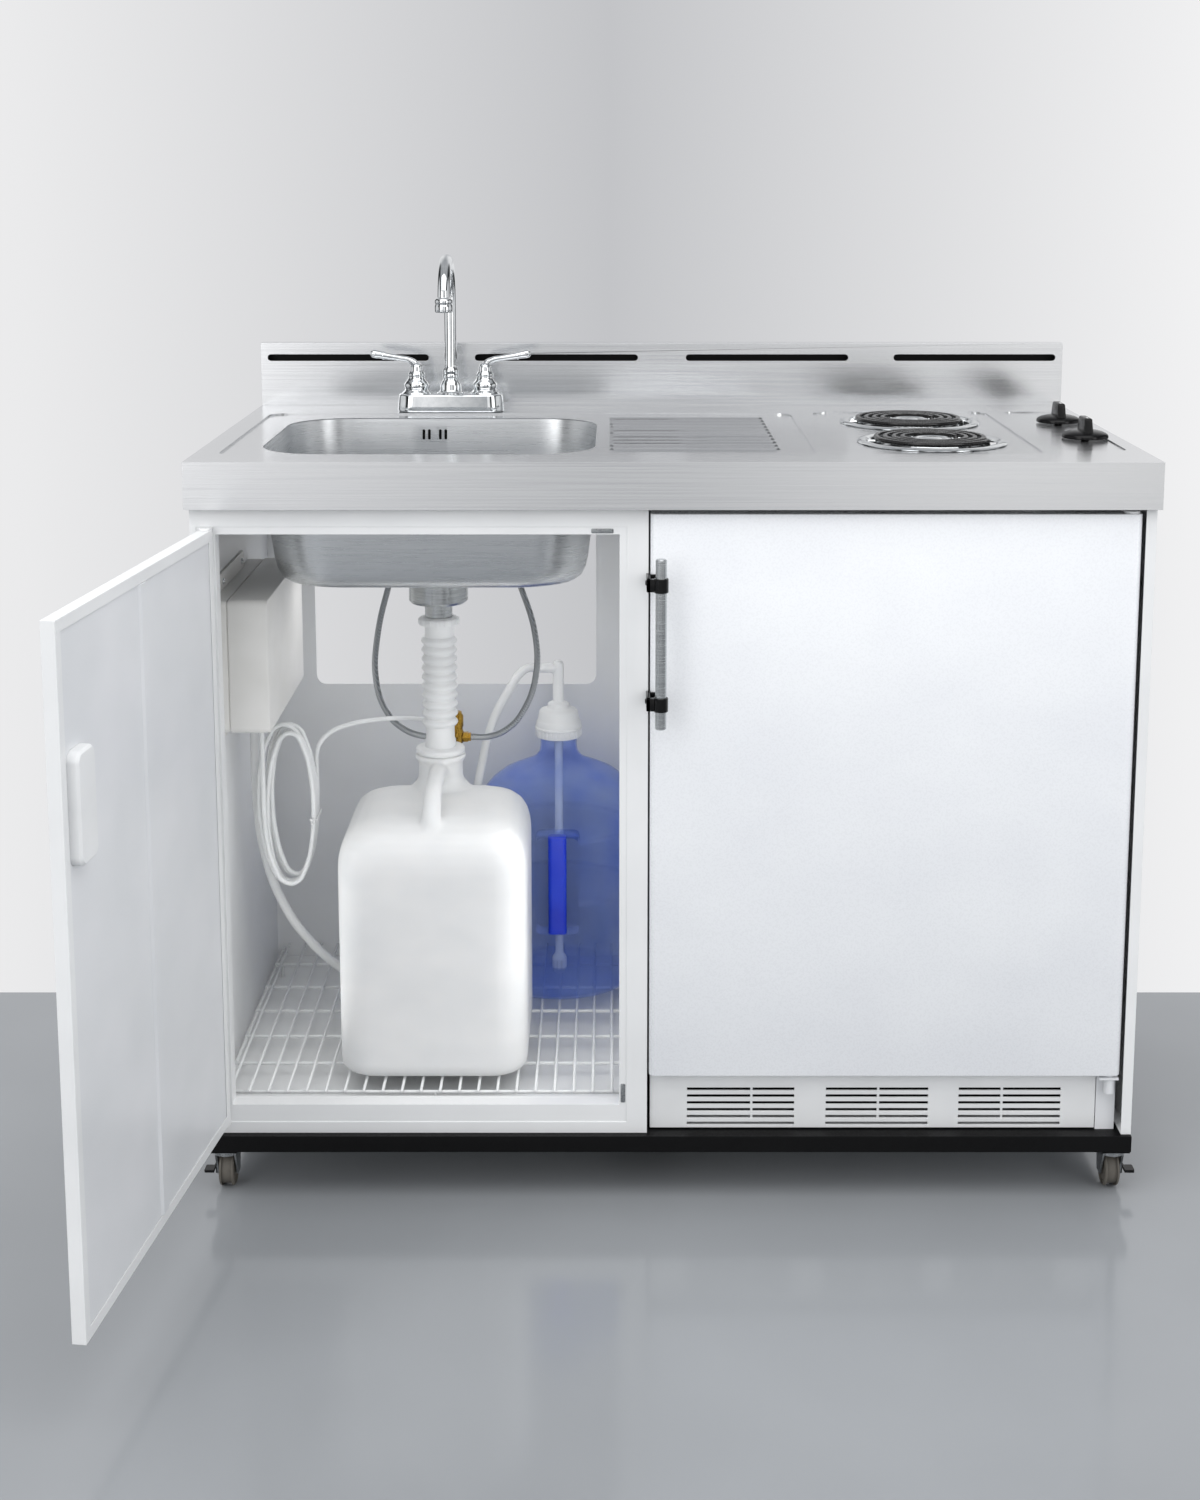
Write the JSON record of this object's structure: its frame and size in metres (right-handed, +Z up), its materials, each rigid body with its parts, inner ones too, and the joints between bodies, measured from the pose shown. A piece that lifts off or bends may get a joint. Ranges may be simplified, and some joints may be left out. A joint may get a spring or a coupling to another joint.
{
  "type": "kitchenette unit with sink and hob",
  "caption": "compact steel kitchenette: pressed worktop with bowl, drainer and coil burners over a sink bay with bottled water supply and a small refrigerator, on casters",
  "frame": {"origin": "centre of the footprint of the whole unit as it stands with its sink door open, on the floor under the casters", "axes": "+X to the right along the worktop, +Y from the front apron to the back, +Z up"},
  "size_m": [1.2668, 1.1506, 1.2148],
  "materials": {
    "brushed_top": "brushed stainless sheet",
    "satin_steel": "satin drawn steel and braided hose",
    "bright_chrome": "bright plated",
    "element": "dark sheathed element",
    "black_plastic": "black moulded",
    "white_enamel": "white powder coat",
    "black_paint": "black paint",
    "white_plastic": "white moulded",
    "cream_plastic": "cream moulded",
    "natural_plastic": "natural milky",
    "blue_plastic": "clear blue",
    "clear_plastic": "clear moulded",
    "brass": "brass fitting",
    "zinc": "zinc plated",
    "wheel": "grey tread",
    "gasket": "white soft seal"
  },
  "bodies": {
    "unit": {"worktop": "brushed_top", "backguard": "brushed_top", "sink_bowl": "satin_steel", "left_side_panel": "white_enamel", "right_end_panel": "white_enamel", "partition_panel": "white_enamel", "cabinet_floor": "white_enamel", "cabinet_back_panel": "white_enamel", "face_frame": "white_enamel", "base_frame": "black_paint", "wire_shelf": "white_enamel", "pump_housing": "cream_plastic", "strainer_body": "satin_steel", "drain_hose": "white_plastic", "waste_jug": "natural_plastic", "water_bottle": "blue_plastic", "bottle_cap": "white_plastic", "dip_tube": "white_plastic", "suction_hose": "white_plastic", "discharge_hank": "white_plastic", "discharge_run": "white_plastic", "hot_supply_hose": "satin_steel", "cold_supply_hose": "satin_steel", "supply_tee": "brass", "faucet_base": "bright_chrome", "front_pan": "bright_chrome", "rear_pan": "bright_chrome", "fridge_shell": "white_enamel", "fridge_liner": "white_plastic", "toe_grille": "white_plastic", "lower_hinge_bracket": "zinc", "fridge_shelf": "white_enamel", "crisper_bin": "clear_plastic", "compressor": "black_paint"},
    "sink_door": {"sink_door": "white_enamel", "door_inner_panel": "white_enamel", "door_pull": "white_plastic"},
    "fridge_door": {"fridge_door": "white_enamel", "fridge_door_liner": "white_plastic", "door_gasket": "gasket", "fridge_handle": "satin_steel"},
    "spout": {"spout": "bright_chrome"},
    "hot_lever": {"hot_lever": "bright_chrome"},
    "cold_lever": {"cold_lever": "bright_chrome"},
    "front_knob": {"front_knob": "black_plastic"},
    "rear_knob": {"rear_knob": "black_plastic"},
    "front_coil": {"front_coil": "element"},
    "rear_coil": {"rear_coil": "element"},
    "strainer_basket": {"strainer_basket": "bright_chrome"},
    "thermostat_dial": {"thermostat_dial": "white_plastic"},
    "front_left_fork": {"front_left_fork": "zinc"},
    "front_left_wheel": {"front_left_wheel": "wheel"},
    "front_right_fork": {"front_right_fork": "zinc"},
    "front_right_wheel": {"front_right_wheel": "wheel"},
    "rear_left_fork": {"rear_left_fork": "zinc"},
    "rear_left_wheel": {"rear_left_wheel": "wheel"},
    "rear_right_fork": {"rear_right_fork": "zinc"},
    "rear_right_wheel": {"rear_right_wheel": "wheel"},
    "left_brake_pedal": {"left_brake_pedal": "black_plastic"},
    "right_brake_pedal": {"right_brake_pedal": "black_plastic"}
  },
  "joints": [
    {"name": "sink_door_hinge", "type": "hinge", "parent": "unit", "child": "sink_door", "pos_m": [-0.5659, -0.05174, 0.5], "axis": [0, 0, 1], "range_deg": [-13.5, 96.5]},
    {"name": "fridge_door_hinge", "type": "hinge", "parent": "unit", "child": "fridge_door", "pos_m": [0.5957, -0.03874, 0.54], "axis": [0, 0, 1], "range_deg": [0, 110]},
    {"name": "spout_swivel", "type": "hinge", "parent": "unit", "child": "spout", "pos_m": [-0.2959, 0.48026, 1.06], "axis": [0, 0, 1], "range_deg": [-100, 100]},
    {"name": "hot_lever_turn", "type": "hinge", "parent": "unit", "child": "hot_lever", "pos_m": [-0.3467, 0.48026, 1.04], "axis": [0, 0, 1], "range_deg": [0, 90]},
    {"name": "cold_lever_turn", "type": "hinge", "parent": "unit", "child": "cold_lever", "pos_m": [-0.2451, 0.48026, 1.04], "axis": [0, 0, 1], "range_deg": [-90, 0]},
    {"name": "front_knob_turn", "type": "hinge", "parent": "unit", "child": "front_knob", "pos_m": [0.5806, 0.17226, 0.99], "axis": [0, 0, 1], "continuous": true},
    {"name": "rear_knob_turn", "type": "hinge", "parent": "unit", "child": "rear_knob", "pos_m": [0.5806, 0.34326, 0.99], "axis": [0, 0, 1], "continuous": true},
    {"name": "front_coil_tilt", "type": "hinge", "parent": "unit", "child": "front_coil", "pos_m": [0.4716, 0.14326, 0.966], "axis": [0, 1, 0], "range_deg": [0, 10]},
    {"name": "rear_coil_tilt", "type": "hinge", "parent": "unit", "child": "rear_coil", "pos_m": [0.4716, 0.35526, 0.966], "axis": [0, 1, 0], "range_deg": [0, 10]},
    {"name": "strainer_basket_lift", "type": "slide", "parent": "unit", "child": "strainer_basket", "axis": [0, 0, 1], "range_m": [0, 0.06]},
    {"name": "thermostat_turn", "type": "hinge", "parent": "unit", "child": "thermostat_dial", "pos_m": [0.4891, 0.11026, 0.862], "axis": [0, 0, 1], "range_deg": [0, 270]},
    {"name": "front_left_swivel", "type": "hinge", "parent": "unit", "child": "front_left_fork", "pos_m": [-0.5679, -0.02574, 0.056], "axis": [0, 0, 1], "continuous": true},
    {"name": "front_left_roll", "type": "hinge", "parent": "front_left_fork", "child": "front_left_wheel", "pos_m": [-0.5679, -0.01374, 0.025], "axis": [1, 0, 0], "continuous": true},
    {"name": "front_right_swivel", "type": "hinge", "parent": "unit", "child": "front_right_fork", "pos_m": [0.6061, -0.02574, 0.056], "axis": [0, 0, 1], "continuous": true},
    {"name": "front_right_roll", "type": "hinge", "parent": "front_right_fork", "child": "front_right_wheel", "pos_m": [0.6061, -0.01374, 0.025], "axis": [1, 0, 0], "continuous": true},
    {"name": "rear_left_swivel", "type": "hinge", "parent": "unit", "child": "rear_left_fork", "pos_m": [-0.5679, 0.50626, 0.056], "axis": [0, 0, 1], "continuous": true},
    {"name": "rear_left_roll", "type": "hinge", "parent": "rear_left_fork", "child": "rear_left_wheel", "pos_m": [-0.5679, 0.51826, 0.025], "axis": [1, 0, 0], "continuous": true},
    {"name": "rear_right_swivel", "type": "hinge", "parent": "unit", "child": "rear_right_fork", "pos_m": [0.6061, 0.50626, 0.056], "axis": [0, 0, 1], "continuous": true},
    {"name": "rear_right_roll", "type": "hinge", "parent": "rear_right_fork", "child": "rear_right_wheel", "pos_m": [0.6061, 0.51826, 0.025], "axis": [1, 0, 0], "continuous": true},
    {"name": "left_brake_press", "type": "hinge", "parent": "front_left_fork", "child": "left_brake_pedal", "pos_m": [-0.5679, -0.01374, 0.025], "axis": [1, 0, 0], "range_deg": [0, 18]},
    {"name": "right_brake_press", "type": "hinge", "parent": "front_right_fork", "child": "right_brake_pedal", "pos_m": [0.6061, -0.01374, 0.025], "axis": [1, 0, 0], "range_deg": [0, 18]}
  ]
}
